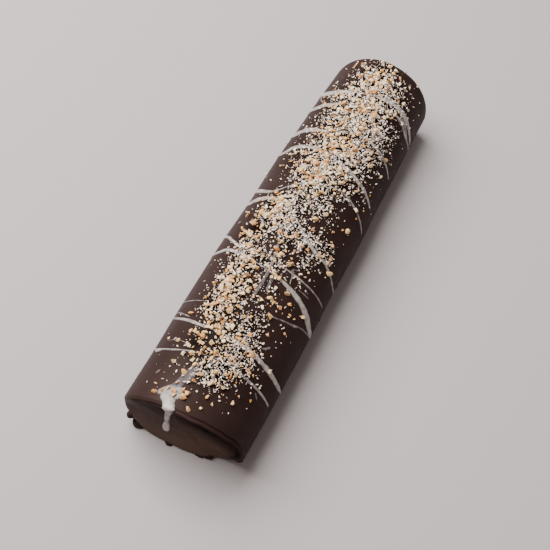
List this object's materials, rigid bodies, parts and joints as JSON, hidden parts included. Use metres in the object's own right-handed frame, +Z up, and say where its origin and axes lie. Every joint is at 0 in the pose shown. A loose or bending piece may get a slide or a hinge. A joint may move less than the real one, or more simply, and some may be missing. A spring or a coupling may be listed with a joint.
{
  "type": "swiss roll cake",
  "caption": "Long uncut swiss roll cake under dark chocolate glaze, crossed by thin white icing lines and strewn with chopped nuts along its crown, standing on a flat underside.",
  "frame": {"origin": "middle of the roll's box on the ground that the flat underside rests on", "axes": "+X along the roll, from the end with the spilt icing to the far end; +Y to the left flank as seen from the spilt end; +Z up"},
  "size_m": [0.3598, 0.0926, 0.0634],
  "materials": {
    "glaze": "satin dark chocolate glaze, with white icing and chopped nuts fused to it"
  },
  "bodies": {
    "root": {"glazed_roll": "glaze"}
  },
  "joints": []
}
